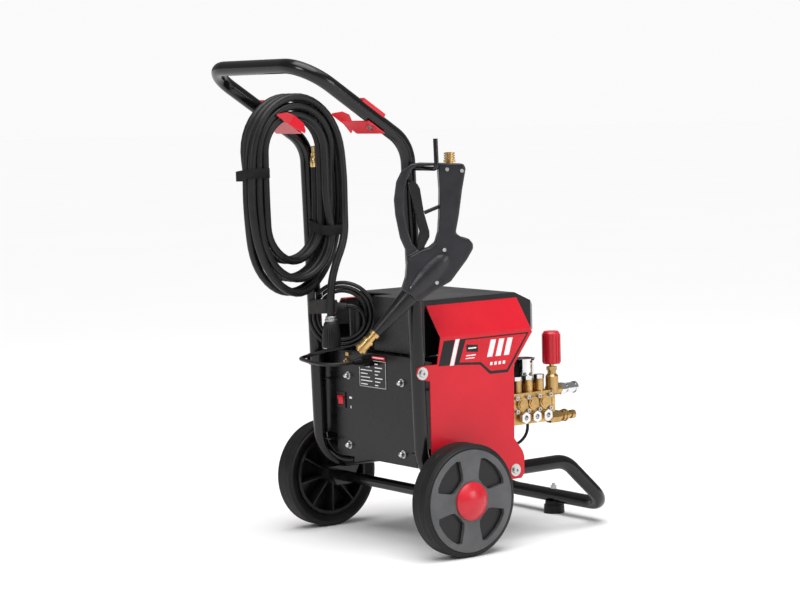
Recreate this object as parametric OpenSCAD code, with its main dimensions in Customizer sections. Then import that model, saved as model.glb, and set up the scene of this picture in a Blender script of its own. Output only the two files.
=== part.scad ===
// Electric cold-water pressure washer on a two-wheel trolley.
// X runs across the trolley, +Y points to the pump end, Z is up, the floor is Z = 0.
// The origin is on the floor, in the middle of the trolley's length and width.

/* [Trolley] */
// outer diameter of the frame tube
tube_d = 32; // [25:1:38]
// distance between the axes of the two side tubes
tube_gap = 384; // [340:2:420]
// half of the trolley's length, to the axes of the end crossbars
half_len = 410; // [360:5:440]
// height of the handle crossbar's axis
handle_z = 1075; // [950:5:1150]
// height of the base tubes' axes
base_z = 162; // [150:1:175]

/* [Wheels] */
// tyre diameter
wheel_d = 250; // [220:5:270]
// tyre width
tyre_w = 54; // [45:1:60]
// axle diameter
axle_d = 25; // [20:1:30]
// outer face of the tyres, from the middle
wheel_out = 287; // [280:1:295]

/* [Motor and pump] */
// height of the motor shaft
shaft_z = 300; // [295:1:310]
// diameter of the motor housing, without its fins
motor_d = 172; // [150:2:180]
// distance between the pump's plungers
plunger_pitch = 33; // [30:1:36]

/* [Hose and cord] */
// outer diameter of the high-pressure hose
hose_d = 18; // [14:1:20]
// diameter of the mains lead
cord_d = 8.5; // [7:0.5:10]

/* [Hidden] */
$fn = 72;
tube_x = tube_gap / 2;
tube_r = tube_d / 2;
axle_y = -70;
axle_z = wheel_d / 2;
wheel_r = wheel_d / 2;
// running clearance, on the radius
run = 0.05;
sheet = 2.5;
// corners of the side tubes' centre line, as [y, z]
hand_c = [-half_len, handle_z];
top_c = [-148, 902];
rear_c = [-129, base_z];
base_c = [282, base_z];
front_c = [half_len, 42];
// the two bent tubes meet here, behind the side panels
weld_z = 260;
weld_y = rear_c[0] + (top_c[0] - rear_c[0]) * (weld_z - base_z) / (top_c[1] - base_z);
hand_r = 75;
top_r = 80;
rear_r = 75;
base_r = 70;
front_r = 60;
// side panels
panel_x = tube_x + tube_r;
fold_z = 478;
facet_x = 160;
facet_z = 545;
ear_c = [-137, 404];
low_c = [119, base_z];
bolt_r = 4;
// top cover
deck_z = 557;
cover_r = -90;
nose_y = 243;
// control panel
ctl_y = -112;
ctl_x = 152;
ctl_top = 430;
ctl_bot = 186;
wing_bot = 233;
plate_top = 184;
stud_x = 102;
stud_zs = [212, 372];
rocker_x = -130;
rocker_z = 314;
gland_x = -16;
gland_z = 419;
// pump head
head_x = 146;
plunger_y = 228;
plunger_ys = [for (i = [-1:1]) plunger_y + i * plunger_pitch];
plunger_z = 297;
head_y0 = 168;
head_y1 = 284;
valve_z = 267;
riser_x = 130;
riser_top = 350;
unload_x = 135;
unload_y = 296;
unload_z = 320;
knob_z0 = 381;
knob_z1 = 456;
knob_r = 21.5;
inlet_z = 257;
gauge_c = [88, 250];
gauge_z = 354;
case_top = 360;
// hose hooks, in the frame of the sloping handle arms
arm_a = atan2(hand_c[1] - top_c[1], top_c[0] - hand_c[0]);
hook_x = 107;
hook_n = -tube_r;
hook_t0 = -151;
shelf_t0 = -122;
hook_bolt = -104;
hook_t1 = -72;
// hose coil, as rings in a plane that holds Y and Z
coil_x0 = -172;
coil_w = 60;
coil_y = -222;
coil_z0 = 693;
coil_z1 = 884;
coil_r = 134;
bore_y = -236;
bore_z0 = 735;
bore_z1 = 886;
bore_r = 75;
tail_x = -102;
tail_y = -156;
boot_z0 = 440;
boot_z1 = 505;
// mains lead coil
ring_c = [-125, -108];
ring_a = atan2(0.8, 0.6);
ring_r = 70;
ring_w = 18;
ring_z = ctl_top + ring_r + ring_w / 2 + 0.05;
// spray gun, in a frame at the hook rod: Y along the gun, X through its thickness
rod_c = [245, -143, 850];
rod_r = 5;
rod_tip = 287;
gun_turn = 30;
gun_o = [rod_c[0], rod_c[1], rod_c[2] + rod_r + 0.3];
pivot_c = [-14, -186];
push_a = 21;
push_r = 4;
push_c = [-3, -100];
lance_o = [-39, -277];
lance_a = 45.9;
lance_len = 109;

black = [0.06, 0.06, 0.07];
graphite = [0.16, 0.16, 0.18];
red = [0.78, 0.08, 0.11];
steel = [0.75, 0.76, 0.78];
brass = [0.80, 0.62, 0.30];
grey = [0.42, 0.43, 0.44];
rubber = [0.05, 0.05, 0.05];

// ---- vector helpers ----
function unit(v) = v / norm(v);
// Euler angles that turn the X, Y and Z axes onto the unit vectors a, b and c
function euler(a, b, c) =
    abs(a[2]) > 0.9999
    ? [0, -90 * sign(a[2]), atan2(-b[0], b[1])]
    : [atan2(b[2], c[2]), asin(-a[2]), atan2(a[1], a[0])];
// any unit vector across v
function across(v) = unit(cross(v, abs(v[2]) < 0.9 ? [0, 0, 1] : [1, 0, 0]));

// round bar from p to q
module bar(p, q, r) {
    w = unit(q - p);
    u = across(w);
    translate(p)
        rotate(euler(u, cross(w, u), w))
            cylinder(h = norm(q - p), r = r);
}

// bend of radius rb at b, between the straight runs a-b and b-c
function bend_set(a, b, c, rb) = rb * tan(acos(unit(b - a) * unit(c - b)) / 2);
module bend(a, b, c, rb, r) {
    u = unit(b - a);
    v = unit(c - b);
    m = unit(v - (v * u) * u);
    start = b - u * bend_set(a, b, c, rb);
    translate(start + m * rb)
        rotate(euler(-m, u, cross(-m, u)))
            rotate_extrude(angle = acos(u * v))
                translate([rb, 0]) circle(r = r - draw_thin);
}

// a bend is drawn thinner by draw_thin, and the straight runs reach a little way over it
draw_thin = 0.02;
draw_lap = 0.4;
// bent round tube through the corners pts, with a bend radius at each inner corner
module bent_tube(pts, radii, r) {
    n = len(pts);
    set = [for (i = [0:n - 1])
        i == 0 || i == n - 1 ? 0 : bend_set(pts[i - 1], pts[i], pts[i + 1], radii[i - 1])];
    for (i = [0:n - 2]) {
        u = unit(pts[i + 1] - pts[i]);
        lap0 = i == 0 ? 0 : draw_lap;
        lap1 = i == n - 2 ? 0 : draw_lap;
        bar(pts[i] + u * (set[i] - lap0), pts[i + 1] - u * (set[i + 1] - lap1), r);
    }
    for (i = [1:n - 2])
        bend(pts[i - 1], pts[i], pts[i + 1], radii[i - 1], r);
}

// flat outline in Y and Z, made thick from x0 to x1
module across_x(x0, x1) {
    translate([x0, 0, 0]) rotate([90, 0, 90]) linear_extrude(x1 - x0) children();
}
// flat outline in X and Z, made thick from y0 to y1
module along_y(y0, y1) {
    translate([0, y1, 0]) rotate([90, 0, 0]) linear_extrude(y1 - y0) children();
}
// round bar along X, or along Y
module bar_x(x0, x1, y, z, r) {
    translate([x0, y, z]) rotate([0, 90, 0]) cylinder(h = x1 - x0, r = r);
}
module bar_y(y0, y1, x, z, r) {
    translate([x, y1, z]) rotate([90, 0, 0]) cylinder(h = y1 - y0, r = r);
}
module both_sides() {
    children();
    mirror([1, 0, 0]) children();
}

// smooth curve through the points p, with n steps between each two
function cubic(a, b, c, d, t) =
    0.5 * (2 * b + (c - a) * t + (2 * a - 5 * b + 4 * c - d) * t * t
           + (3 * b - a - 3 * c + d) * t * t * t);
function smooth(p, n) = concat(
    [for (i = [0:len(p) - 2], k = [0:n - 1])
        cubic(p[max(i - 1, 0)], p[i], p[i + 1], p[min(i + 2, len(p) - 1)], k / n)],
    [p[len(p) - 1]]);
// tube swept along the points p, with the given number of sides
module swept(p, r, sides = 10) {
    n = len(p);
    dirs = [for (i = [0:n - 1]) unit(p[min(i + 1, n - 1)] - p[max(i - 1, 0)])];
    // each ring keeps the turn of the ring before it
    rights = [for (i = 0, a = across(dirs[0]); i < n;
                   a = unit(a - (a * dirs[min(i + 1, n - 1)]) * dirs[min(i + 1, n - 1)]), i = i + 1) a];
    pts = [for (i = [0:n - 1], k = [0:sides - 1])
        p[i] + r * (cos(360 * k / sides) * rights[i]
                    + sin(360 * k / sides) * cross(dirs[i], rights[i]))];
    walls = [for (i = [0:n - 2], k = [0:sides - 1])
        let (j = (k + 1) % sides)
        [i * sides + k, (i + 1) * sides + k, (i + 1) * sides + j, i * sides + j]];
    caps = [[for (k = [0:sides - 1]) k],
            [for (k = [sides - 1:-1:0]) (n - 1) * sides + k]];
    polyhedron(pts, concat(walls, caps));
}

// ---- frame ----
function side(c, s) = [s * tube_x, c[0], c[1]];

module handle_frame() {
    color(black)
    difference() {
        bent_tube([side([weld_y, weld_z], -1), side(top_c, -1), side(hand_c, -1),
                   side(hand_c, 1), side(top_c, 1), side([weld_y, weld_z], 1)],
                  [top_r, hand_r, hand_r, top_r], tube_r);
        both_sides() {
            bar_x(tube_x - 6, panel_x + 1, ear_c[0], ear_c[1], bolt_r + run);
            on_arm() translate([tube_x, hook_bolt, -tube_r - 1]) cylinder(h = tube_r, r = bolt_r + run);
        }
        bar_x(tube_x - 6, panel_x + 1, rod_c[1], rod_c[2], rod_r + run);
    }
}

// one bent tube, with the motor plate and the axle brackets welded to it
plate_y0 = -50;
module base_frame() {
    color(black) {
        difference() {
            bent_tube([side([weld_y, weld_z], -1), side(rear_c, -1), side(base_c, -1), side(front_c, -1),
                       side(front_c, 1), side(base_c, 1), side(rear_c, 1), side([weld_y, weld_z], 1)],
                      [rear_r, base_r, front_r, front_r, base_r, rear_r], tube_r);
            both_sides() bar_x(tube_x - 6, panel_x + 1, low_c[0], low_c[1], bolt_r + run);
            translate([0, half_len, 0]) cylinder(h = 80, r = bolt_r + run);
        }
        // motor plate, with its edges turned down between the side tubes
        difference() {
            translate([-tube_x + 4, plate_y0, plate_top - 4]) cube([2 * tube_x - 8, 164, 4]);
            for (x = [-55, 55], y = [20, 110])
                translate([x, y, plate_top - 5]) cylinder(h = 6, r = bolt_r + run);
        }
        both_sides() {
            translate([tube_x - 18, plate_y0, base_z - 6]) cube([3, 164, plate_top + 4 - base_z]);
            difference() {
                across_x(tube_x - 3, tube_x + 3)
                    polygon([[axle_y - 45, base_z - 12], [axle_y + 45, base_z - 12],
                             [axle_y + 22, axle_z - 20], [axle_y - 22, axle_z - 20]]);
                bar_x(tube_x - 5, tube_x + 5, axle_y, axle_z, axle_d / 2 + run);
            }
        }
    }
}

module axle() {
    color(black) bar_x(-wheel_out - 6, wheel_out + 6, axle_y, axle_z, axle_d / 2);
}

foot_r = 25;
foot_top = front_c[1] - tube_r;
module foot_rubber() {
    color(rubber)
    difference() {
        translate([0, half_len, 0]) {
            cylinder(h = 20, r1 = foot_r, r2 = foot_r - 1);
            translate([0, 0, 20]) cylinder(h = foot_top - 20 + 4, r = foot_r - 4);
        }
        bar_x(-40, 40, half_len, front_c[1], tube_r);
        translate([0, half_len, -1]) cylinder(h = 12, r = 9);
        translate([0, half_len, 0]) cylinder(h = 60, r = bolt_r + run);
    }
}

module foot_bolt() {
    color(steel) translate([0, half_len, 0]) {
        translate([0, 0, 5]) cylinder(h = 6, r = 7, $fn = 6);
        cylinder_z(11, front_c[1] + tube_r + 13, bolt_r);
        difference() {
            translate([0, 0, front_c[1] + tube_r]) cylinder(h = 8, r = 7.5, $fn = 6);
            cylinder_z(front_c[1], front_c[1] + 40, bolt_r - 0.2);
        }
    }
}
module cylinder_z(z0, z1, r) {
    translate([0, 0, z0]) cylinder(h = z1 - z0, r = r);
}

// ---- red side panels ----
module side_panel() {
    difference() {
        union() {
            across_x(panel_x, panel_x + sheet)
                polygon([[-84, fold_z], [172, fold_z], [176, fold_z - 8], [121, 400], [118, 234],
                         [141, 204], [146, 190], [145, 152], [136, 142], [96, 142], [86, 176],
                         [-116, 176], [-116, 385], [ear_c[0] + 4, ear_c[1] - 15],
                         [ear_c[0] - 9, ear_c[1] - 12], [ear_c[0] - 15, ear_c[1]],
                         [ear_c[0] - 11, ear_c[1] + 13], [ear_c[0], ear_c[1] + 16],
                         [-95, ear_c[1] + 16]]);
            along_y(-84, 172)
                polygon([[panel_x, fold_z - 0.5], [panel_x + sheet, fold_z - 0.5],
                         [panel_x + sheet, fold_z + 0.5], [facet_x + sheet, facet_z],
                         [facet_x - 20, facet_z], [facet_x - 20, facet_z - sheet],
                         [facet_x, facet_z - sheet], [panel_x, fold_z]]);
        }
        bar_x(panel_x - 1, panel_x + sheet + 1, ear_c[0], ear_c[1], bolt_r + run);
        bar_x(panel_x - 1, panel_x + sheet + 1, low_c[0], low_c[1], bolt_r + run);
    }
}
module side_panel_right() {
    color(red) side_panel();
}
module side_panel_left() {
    color(red) mirror([1, 0, 0]) side_panel();
}

// button-head bolts with washers: two through each side panel, one through each hose hook
module panel_bolt(c) {
    x0 = panel_x + sheet;
    difference() {
        union() {
            bar_x(tube_x, x0, c[0], c[1], bolt_r);
            bar_x(x0, x0 + 2, c[0], c[1], 14);
            bar_x(x0 + 2, x0 + 7, c[0], c[1], 8.5);
        }
        translate([x0 + 3, c[0], c[1]]) rotate([0, 90, 0]) cylinder(h = 6, r = 3.5, $fn = 6);
    }
}
module frame_bolts() {
    color(steel) both_sides() {
        panel_bolt(ear_c);
        panel_bolt(low_c);
        on_arm() translate([tube_x, hook_bolt, 0]) {
            cylinder_z(hook_n - sheet, -4, bolt_r);
            translate([0, 0, hook_n - sheet - 6]) cylinder(h = 6, r = 7.5, $fn = 6);
        }
    }
}

// printed film on both side panels, and the rating plate
module labels() {
    color(graphite) {
        both_sides()
            across_x(panel_x + sheet, panel_x + sheet + 0.4)
                polygon([[-76, 404], [-76, 458], [-60, 470], [152, 470], [96, 398], [46, 394],
                         [18, 412], [-34, 412], [-48, 404]]);
        translate([-50, ctl_y - 0.8, 346]) cube([96, 0.8, 52]);
    }
}

// ---- black top cover, an open-bottomed moulding ----
module cover_profile(t) {
    polygon([[cover_r + t, facet_z - t], [cover_r + t, deck_z - t], [167 - t / 4, deck_z - t],
             [nose_y - t, 522 - t / 2], [nose_y - t, 466 - t], [178, 466 - t], [172, 474 - t],
             [172, facet_z - t]]);
}
module cover_body(t) {
    half = facet_x + 2 - t;
    cut = 30 + t * 0.41;
    difference() {
        across_x(-half, half) cover_profile(t);
        both_sides()
            translate([half - cut, nose_y - t, 0]) rotate([0, 0, -45]) cube([80, 80, 700]);
    }
}
module top_cover() {
    color(black)
    difference() {
        union() {
            difference() {
                cover_body(0);
                cover_body(3);
                translate([-130, cover_r + 3, facet_z - 3]) cube([260, 160, 2.999]);
            }
            // skirts down to the control panel, behind the side panels and round the lead's recess
            for (w = skirt_walls)
                translate([w[0], w[1], ctl_top + 4])
                    cube([w[2] - w[0], w[3] - w[1], w[4] - ctl_top - 4]);
        }
        translate([-facet_x - 10, cover_r - 1, ctl_top]) cube([facet_x + 10 + recess[0], recess[1] + 1, 200]);
    }
}
// recess in the rear left corner, for the mains lead, as its inner x and its depth
recess = [-28, 56];
skirt_top = facet_z + 2;
flange_under = facet_z - sheet - 2.7;
skirt_walls = [[recess[0] - 3, cover_r, facet_x + 1, cover_r + 3, skirt_top],
               [recess[0], cover_r, recess[0] + 3, cover_r + recess[1] + 3, skirt_top],
               [22 - facet_x, cover_r + recess[1], recess[0] + 3, cover_r + recess[1] + 3, skirt_top],
               [-facet_x - 1, cover_r + recess[1], 23 - facet_x, cover_r + recess[1] + 3, flange_under],
               [facet_x - 2, cover_r, facet_x + 1, 168, flange_under],
               [-facet_x - 1, cover_r + recess[1] + 0.5, 2 - facet_x, 168, flange_under - 0.5]];

// ---- control panel: one folded sheet that stands on the motor plate ----
module control_panel() {
    depth = 74;
    color(black)
    difference() {
        union() {
            translate([-ctl_x, ctl_y, ctl_bot]) cube([2 * ctl_x, sheet, ctl_top - ctl_bot]);
            translate([-ctl_x, ctl_y, ctl_top - sheet]) cube([2 * ctl_x, depth, sheet]);
            both_sides() {
                translate([ctl_x - sheet, ctl_y, ctl_bot]) cube([sheet, depth, ctl_top - ctl_bot]);
                // tabs to the uprights
                for (z = [220, 360])
                    translate([ctl_x - 1, ctl_y - 20, z])
                        cube([tube_x - tube_r - ctl_x + 1, 22, sheet]);
                // wings that close the gaps beside the uprights
                translate([ctl_x - 1, ctl_y + 4, wing_bot])
                    cube([panel_x - 4 - ctl_x + 1, sheet, ctl_top - wing_bot - 4]);
            }
            translate([-ctl_x, -100, plate_top]) cube([2 * ctl_x, 62, ctl_bot - plate_top + 1]);
        }
        for (x = [-stud_x, stud_x], z = stud_zs)
            bar_y(ctl_y - 1, ctl_y + 5, x, z, bolt_r + run);
        translate([rocker_x - 12, ctl_y - 1, rocker_z - 14]) cube([24, 6, 28]);
        bar_y(ctl_y - 1, ctl_y + 5, gland_x, gland_z - 6, 8);
    }
}

// domed nuts on washers
module panel_studs() {
    color(steel)
    for (x = [-stud_x, stud_x], z = stud_zs) {
        bar_y(ctl_y - 1.5, ctl_y, x, z, 9);
        bar_y(ctl_y - 7, ctl_y - 1.5, x, z, 6.5);
        bar_y(ctl_y, ctl_y + 8, x, z, bolt_r);
        intersection() {
            translate([x, ctl_y - 7, z]) sphere(r = 6.5);
            bar_y(ctl_y - 14, ctl_y - 7, x, z, 6.5);
        }
    }
}

module rocker_bezel() {
    color(black)
    difference() {
        union() {
            translate([rocker_x - 16, ctl_y - 2.5, rocker_z - 18]) cube([32, 2.5, 36]);
            translate([rocker_x - 11.9, ctl_y, rocker_z - 13.9]) cube([23.8, 16, 27.8]);
        }
        translate([rocker_x - 10, ctl_y - 3, rocker_z - 12]) cube([20, 16, 24]);
        bar_x(rocker_x - 11, rocker_x + 11, ctl_y + 3, rocker_z, 1.5 + run);
    }
}

// rocker on a cross pin, pressed in at its lower half; its ends are arcs about the pin
module rocker() {
    y = ctl_y + 3;
    color(red) {
        intersection() {
            across_x(rocker_x - 9.7, rocker_x + 9.7)
                polygon([[y + 6, rocker_z - 9], [y - 6.2, rocker_z - 12], [y - 7, rocker_z],
                         [y - 11.5, rocker_z + 12], [y + 6, rocker_z + 9]]);
            bar_x(rocker_x - 12, rocker_x + 12, y, rocker_z, 11.6);
        }
        bar_x(rocker_x - 10.9, rocker_x + 10.9, y, rocker_z, 1.5);
    }
}

// cable gland with a ribbed nut and a soft tapered sleeve for the mains lead
module cable_gland() {
    z = gland_z - 6;
    color(black)
    difference() {
        union() {
            bar_y(ctl_y, ctl_y + 10, gland_x, z, 8 - run);
            translate([gland_x, ctl_y, z]) rotate([90, 0, 0]) cylinder(h = 8, r = 14, $fn = 6);
            bar_y(ctl_y - 26, ctl_y - 8, gland_x, z, 13);
            translate([gland_x, ctl_y - 26, z]) rotate([90, 0, 0]) cylinder(h = 22, r1 = 9, r2 = 6);
        }
        bar_y(ctl_y - 60, ctl_y + 20, gland_x, z, cord_d / 2 + run);
    }
}

// earth terminal and a spare blanking screw at the panel's top corner
module earth_studs() {
    color(brass) {
        translate([-103, ctl_y, 406]) rotate([90, 0, 0]) cylinder(h = 5, r = 6, $fn = 6);
        bar_y(ctl_y - 10, ctl_y - 5, -103, 406, 2.5);
        translate([-106, ctl_y - 4, 418]) cube([12, 4, 8]);
    }
}

// ---- motor ----
motor_y0 = -14;
motor_y1 = 126;
module motor_housing() {
    r = motor_d / 2;
    color(graphite)
    difference() {
        union() {
            bar_y(motor_y0, motor_y1, 0, shaft_z, r);
            for (a = [-60:12:240])
                translate([0, motor_y0, shaft_z]) rotate([0, -a, 0])
                    translate([r - 3, 0, -1.5]) cube([13, motor_y1 - motor_y0, 3]);
            for (s = [-1, 1])
                translate([s * 55 - 15, motor_y0 + 10, plate_top]) cube([30, 120, 54]);
        }
        bar_y(motor_y0 - 1, motor_y1 + 1, 0, shaft_z, r - 8);
        for (x = [-55, 55], y = [20, 110])
            translate([x, y, plate_top - 1]) cylinder(h = 24, r = bolt_r + run);
    }
}

module motor_end_bells() {
    color(graphite) {
        difference() {
            union() {
                bar_y(motor_y0 - 12, motor_y0, 0, shaft_z, motor_d / 2 + 4);
                bar_y(motor_y0, motor_y0 + 12, 0, shaft_z, motor_d / 2 - 8);
            }
            bar_y(motor_y0 - 20, motor_y0 + 20, 0, shaft_z, 12 + run);
        }
        difference() {
            union() {
                bar_y(motor_y1, motor_y1 + 14, 0, shaft_z, motor_d / 2 + 4);
                bar_y(motor_y1 - 12, motor_y1, 0, shaft_z, motor_d / 2 - 8);
            }
            bar_y(motor_y1 - 20, motor_y1 + 20, 0, shaft_z, 12 + run);
        }
    }
}

// shaft, rotor core and the cooling fan that is pressed on the shaft
module motor_rotor() {
    color(steel) {
        bar_y(-64, motor_y1 + 60, 0, shaft_z, 12);
        bar_y(motor_y0 + 20, motor_y1 - 20, 0, shaft_z, 52);
        bar_y(-58, -34, 0, shaft_z, 22);
        for (a = [0:45:315])
            translate([0, -58, shaft_z]) rotate([0, a, 0]) translate([20, 0, -1.5]) cube([52, 22, 3]);
    }
}

module fan_cover() {
    r = motor_d / 2 + 4;
    color(black)
    difference() {
        bar_y(-72, motor_y0 - 12, 0, shaft_z, r);
        bar_y(-69, motor_y0, 0, shaft_z, r - 3);
        for (a = [0:30:330], d = [32, 48, 64])
            rotate_about([0, 0, shaft_z], a)
                bar_y(-75, -60, d, shaft_z, 4.5);
    }
}
module rotate_about(c, a) {
    translate(c) rotate([0, a, 0]) translate(-c) children();
}

// start and run capacitors, upright on the panel's top fold
module capacitors() {
    color(black)
    for (c = [[-131, 92], [0, 68]])
        translate([c[0], -60, ctl_top]) {
            cylinder(h = c[1], r = 20);
            translate([0, 0, c[1]]) cylinder(h = 6, r = 15);
        }
}

// ---- pump ----
module pump_crankcase() {
    color(graphite)
    difference() {
        union() {
            bar_y(motor_y1 + 14, motor_y1 + 26, 0, shaft_z, motor_d / 2);
            translate([-62, motor_y1 + 26, 240]) cube([124, 128, case_top - 240]);
            translate([62, head_y0, 250]) cube([38, head_y1 - head_y0, 94]);
        }
        bar_y(motor_y1, motor_y1 + 64, 0, shaft_z, 12 + run);
    }
}

module pump_manifold() {
    color(brass)
    difference() {
        union() {
            translate([100, head_y0, 250]) cube([head_x - 100, head_y1 - head_y0, 72]);
            for (y = plunger_ys) {
                bar_x(head_x, head_x + 8, y, valve_z, 12.5);
                translate([riser_x, y, 322]) cylinder(h = riser_top - 322, r = 11);
            }
            translate([104, head_y0 + 6, 322]) cube([16, head_y1 - head_y0 - 12, 16]);
        }
        for (y = plunger_ys) {
            bar_x(head_x - 16, head_x + 1, y, plunger_z, 8 + run);
            bar_x(head_x - 10, head_x + 9, y, valve_z, 7 + run);
            translate([riser_x, y, riser_top - 12]) cylinder(h = 20, r = 6 + run);
        }
        for (y = bolt_ys, z = [plunger_z - 16, plunger_z + 15])
            bar_x(head_x - 30, head_x + 1, y, z, 3 + run);
    }
}
bolt_ys = [for (i = [0:3]) plunger_y + (i - 1.5) * plunger_pitch];

// round plugs over the plunger bores
module plunger_caps() {
    color(brass)
    for (y = plunger_ys) {
        bar_x(head_x - 12, head_x, y, plunger_z, 8);
        bar_x(head_x, head_x + 5, y, plunger_z, 14.5);
        translate([head_x + 5, y, plunger_z]) rotate([0, 90, 0]) cylinder(h = 2, r = 11, $fn = 8);
    }
}

// hexagon valve caps, three on the front and three on the risers
module valve_caps() {
    color(steel)
    for (y = plunger_ys) {
        difference() {
            union() {
                bar_x(head_x - 8, head_x + 8, y, valve_z, 7);
                translate([head_x + 8, y, valve_z]) rotate([0, 90, 0]) cylinder(h = 8, r = 13.5, $fn = 6);
            }
            bar_x(head_x + 4, head_x + 17, y, valve_z, 6);
        }
        translate([riser_x, y, 0]) {
            cylinder_z(riser_top - 10, riser_top, 6);
            translate([0, 0, riser_top]) cylinder(h = 9, r = 12.5, $fn = 6);
        }
    }
}

module head_bolts() {
    color(steel)
    for (y = bolt_ys, z = [plunger_z - 16, plunger_z + 15])
        difference() {
            union() {
                bar_x(head_x - 28, head_x, y, z, 3);
                bar_x(head_x, head_x + 7, y, z, 5);
            }
            translate([head_x + 3, y, z]) rotate([0, 90, 0]) cylinder(h = 6, r = 2.5, $fn = 6);
        }
}

// pressure regulator: a brass body, a neck for the knob and a pipe down to the inlet side
module unloader_body() {
    y = unload_y;
    color(brass)
    difference() {
        union() {
            bar_y(head_y1, y + 20, unload_x, unload_z, 13);
            translate([unload_x, y, 0]) {
                cylinder_z(unload_z - 6, 352, 15);
                translate([0, 0, 352]) cylinder(h = 6, r1 = 15, r2 = 10);
                cylinder_z(358, 374, 10);
                translate([0, 0, 366]) cylinder(h = 8, r = 12.5, $fn = 6);
                cylinder_z(374, knob_z1 - 20, 6);
                cylinder_z(inlet_z + 15 * cos(30), unload_z - 6, 6.5);
            }
        }
        bar_y(y + 8, y + 21, unload_x, unload_z, 8 + run);
        translate([unload_x - 30, head_y1 - 20, inlet_z]) cube([60, 20, 322 - inlet_z]);
    }
}

// ribbed red knob that screws the spring down; it turns on the spindle
module unloader_knob() {
    color(red)
    translate([unload_x, unload_y, 0])
    difference() {
        union() {
            cylinder_z(knob_z0, knob_z1 - 5, knob_r - 1.5);
            translate([0, 0, knob_z1 - 5]) cylinder(h = 5, r1 = knob_r - 1.5, r2 = knob_r - 5);
            for (a = [0:22.5:337.5])
                rotate([0, 0, a]) translate([knob_r - 3, -2.2, knob_z0 + 3])
                    cube([3, 4.4, knob_z1 - knob_z0 - 10]);
        }
        cylinder_z(knob_z0 - 1, knob_z1 - 19, 6 + run);
    }
}

module outlet_fitting() {
    y = unload_y + 20;
    color(steel)
    difference() {
        union() {
            bar_y(y - 11, y, unload_x, unload_z, 8);
            translate([unload_x, y + 14, unload_z]) rotate([90, 0, 0]) cylinder(h = 14, r = 15, $fn = 6);
            bar_y(y + 14, y + 20, unload_x, unload_z, 9);
            bar_y(y + 20, y + 46, unload_x, unload_z, 12);
            bar_y(y + 44, y + 50, unload_x, unload_z, 13.5);
        }
        bar_y(y - 12, y + 60, unload_x, unload_z, 4.5);
    }
}

// garden-hose connector: a hexagon body, a plain barrel for the collar and a grooved nipple
module inlet_fitting() {
    color(brass)
    difference() {
        union() {
            translate([unload_x, head_y1 + 30, inlet_z]) rotate([90, 0, 0]) cylinder(h = 30, r = 15, $fn = 6);
            bar_y(head_y1 + 30, head_y1 + 54, unload_x, inlet_z, 10);
            bar_y(head_y1 + 54, head_y1 + 66, unload_x, inlet_z, 7.5);
            bar_y(head_y1 + 66, head_y1 + 76, unload_x, inlet_z, 10);
        }
        bar_y(head_y1 - 1, head_y1 + 80, unload_x, inlet_z, 5);
    }
}

module inlet_collar() {
    color(brass)
    difference() {
        union() {
            bar_y(head_y1 + 38, head_y1 + 53, unload_x, inlet_z, 13);
            bar_y(head_y1 + 46, head_y1 + 50, unload_x, inlet_z, 14.5);
        }
        bar_y(head_y1 + 37, head_y1 + 54, unload_x, inlet_z, 10 + run);
    }
}

// pressure gauge that stands on the crankcase with its face up
module gauge_case() {
    color(steel)
    translate([gauge_c[0], gauge_c[1], 0])
    difference() {
        union() {
            cylinder_z(344, gauge_z, 7);
            cylinder_z(gauge_z, gauge_z + 36, 24);
            cylinder_z(gauge_z + 36, gauge_z + 40, 28);
        }
        cylinder_z(gauge_z + 30, gauge_z + 41, 22);
        translate([0, 0, gauge_z + 24]) cylinder(h = 8, r = 1.5 + run);
    }
}

module gauge_needle() {
    color(red)
    translate([gauge_c[0], gauge_c[1], 0]) {
        cylinder_z(gauge_z + 25, gauge_z + 34, 1.5);
        cylinder_z(gauge_z + 31.5, gauge_z + 34, 3);
        rotate([0, 0, 225]) translate([-6, -0.6, gauge_z + 32]) cube([24, 1.2, 1]);
    }
}

// thermal cut-out lead from the pump head to the motor's foot
lead_points = [[140, 216, 250], [140, 215, 236], [139, 209, 222], [136, 197, 210], [131, 180, 202],
               [124, 160, 199], [112, 140, 198], [96, 124, 197], [82, 114, 197], [70, 108, 197]];
module sensor_lead() {
    color(rubber) swept(smooth(lead_points, 2), 3.5, 8);
}

// ---- wheels, drawn on the right-hand side ----
wheel_in = wheel_out - tyre_w;
cap_r = 42;
cap_out = 309;
disc_r = 113;
module on_axle() {
    translate([0, axle_y, axle_z]) rotate([0, 90, 0]) children();
}
module tyre() {
    s = 12;
    on_axle()
        rotate_extrude()
            polygon([[96, wheel_in + 4], [disc_r - 4, wheel_in], [wheel_r - s, wheel_in],
                     [wheel_r - s / 3, wheel_in + s / 3], [wheel_r, wheel_in + s],
                     [wheel_r, wheel_out - s], [wheel_r - s / 3, wheel_out - s / 3],
                     [wheel_r - s, wheel_out], [disc_r, wheel_out], [disc_r, wheel_out - 8],
                     [96, wheel_out - 8]]);
}
module rim() {
    hub_r = 24;
    on_axle() {
        difference() {
            union() {
                cylinder_z(wheel_in - 14, wheel_out - 8, hub_r);
                cylinder_z(wheel_out - 16, wheel_out - 8, 96);
                difference() {
                    cylinder_z(wheel_in + 4, wheel_out - 16, 96);
                    cylinder_z(wheel_in, wheel_out, 89);
                }
                for (a = [0:40:320])
                    rotate([0, 0, a]) translate([hub_r - 1, -2, wheel_in + 4])
                        cube([67, 4, tyre_w - 20]);
            }
            cylinder_z(wheel_in - 20, wheel_out, axle_d / 2 + run);
        }
    }
}
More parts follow.
